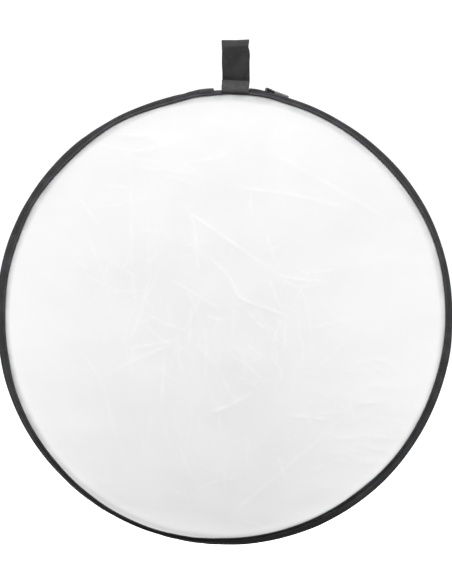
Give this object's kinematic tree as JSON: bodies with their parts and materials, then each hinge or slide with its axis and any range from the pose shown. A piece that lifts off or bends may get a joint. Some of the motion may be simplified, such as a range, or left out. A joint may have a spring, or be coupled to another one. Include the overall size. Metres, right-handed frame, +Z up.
{
  "type": "collapsible reflector disc",
  "caption": "Round collapsible light reflector with a zipped reversible fabric cover over a spring-hoop diffuser and a webbing hanging loop.",
  "frame": {"origin": "middle of the disc on its mid-plane", "axes": "+Z up through the hanging loop, -Y out of the white front face, +X to the right as seen from the front"},
  "size_m": [0.6, 0.0118, 0.6645],
  "materials": {
    "white_fabric": "matte",
    "black_fabric": "matte",
    "silver_lining": "satin",
    "gold_lining": "satin",
    "diffuser_fabric": "matte",
    "black_ribbon": "matte",
    "zip_tape": "matte",
    "zip_coil": "satin",
    "zip_stop_metal": "satin",
    "webbing": "matte",
    "thread": "matte",
    "spring_steel": "satin",
    "ferrule_metal": "satin",
    "slider_enamel": "satin",
    "pull_metal": "satin"
  },
  "bodies": {
    "rear_cover": {"rear_black_panel": "black_fabric", "rear_gold_lining": "gold_lining", "rear_facing_ribbon": "black_ribbon", "rear_outer_ribbon": "black_ribbon", "rear_zip_tape": "zip_tape", "rear_zip_coil": "zip_coil", "rear_top_stop": "zip_stop_metal", "seam_binding": "black_ribbon", "zip_start_patch": "webbing", "zip_bottom_stop": "zip_stop_metal", "loop_base": "webbing", "loop_stitching_front": "thread", "loop_stitching_rear": "thread"},
    "front_cover": {"front_white_panel": "white_fabric", "front_silver_lining": "silver_lining", "front_facing_ribbon": "black_ribbon", "front_outer_ribbon": "black_ribbon", "front_zip_tape": "zip_tape", "front_zip_coil": "zip_coil", "front_top_stop": "zip_stop_metal"},
    "diffuser": {"spring_hoop": "spring_steel", "hoop_ferrule": "ferrule_metal", "hoop_casing": "black_ribbon", "casing_end_patch": "black_ribbon", "diffuser_panel": "diffuser_fabric"},
    "zip_slider": {"zip_slider_body": "slider_enamel"},
    "pull_tab": {"zip_pull_tab": "pull_metal"},
    "hanging_loop": {"handle_loop": "webbing"}
  },
  "joints": [
    {"name": "cover_open", "type": "hinge", "parent": "rear_cover", "child": "front_cover", "pos_m": [0, -0.0052, 0.296], "axis": [-1, 0, 0], "range_deg": [0, 120], "deforming": ["front_zip_coil", "rear_zip_coil"]},
    {"name": "diffuser_out", "type": "hinge", "parent": "rear_cover", "child": "diffuser", "pos_m": [0, -0.0052, 0.296], "axis": [-1, 0, 0], "range_deg": [0, 60]},
    {"name": "zip_travel", "type": "hinge", "parent": "rear_cover", "child": "zip_slider", "pos_m": [0, 0, 0], "axis": [0, 1, 0], "range_deg": [0, 340], "deforming": ["front_zip_coil", "rear_zip_coil"]},
    {"name": "pull_flip", "type": "hinge", "parent": "zip_slider", "child": "pull_tab", "pos_m": [0.04217, 0, 0.30106], "axis": [0, -1, 0], "range_deg": [0, 140]},
    {"name": "loop_swing", "type": "hinge", "parent": "rear_cover", "child": "hanging_loop", "pos_m": [0, 0, 0.3124], "axis": [-1, 0, 0], "range_deg": [-25, 90], "stiffness_Nm_per_rad": 0.01}
  ],
  "couplings": [
    {"joint": "diffuser_out", "follows": "cover_open", "ratio": 0.5},
    {"joint": "zip_travel", "follows": "cover_open", "ratio": 2.8333}
  ]
}
